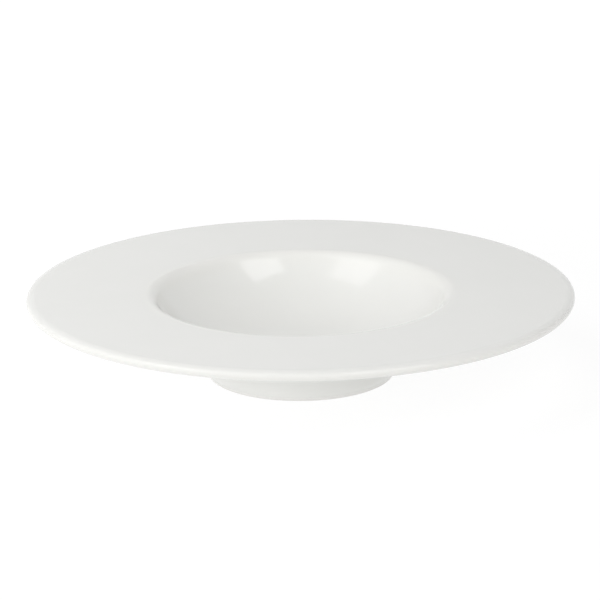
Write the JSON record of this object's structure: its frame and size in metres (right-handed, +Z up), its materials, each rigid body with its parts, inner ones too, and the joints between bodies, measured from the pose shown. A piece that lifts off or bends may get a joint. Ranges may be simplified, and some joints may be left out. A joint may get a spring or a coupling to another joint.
{
  "type": "soup bowl",
  "caption": "Wide-rimmed soup bowl in glazed white porcelain: broad, nearly flat rim around a deep rounded well, standing on a raised foot ring.",
  "frame": {"origin": "on the table, under the middle of the bowl", "axes": "+Z up, along the bowl's axis; X and Y lie on the table, and the picture looks along +Y"},
  "size_m": [0.28, 0.28, 0.0454],
  "materials": {
    "biscuit_porcelain": "matte bare fired clay, ground smooth on the standing ring",
    "white_glaze": "glossy white glaze, slightly warm",
    "recess_glaze": "glossy white glaze, slightly warm"
  },
  "bodies": {
    "root": {"porcelain_body": "biscuit_porcelain", "glaze_coat": "white_glaze", "foot_recess_glaze": "recess_glaze"}
  },
  "joints": []
}
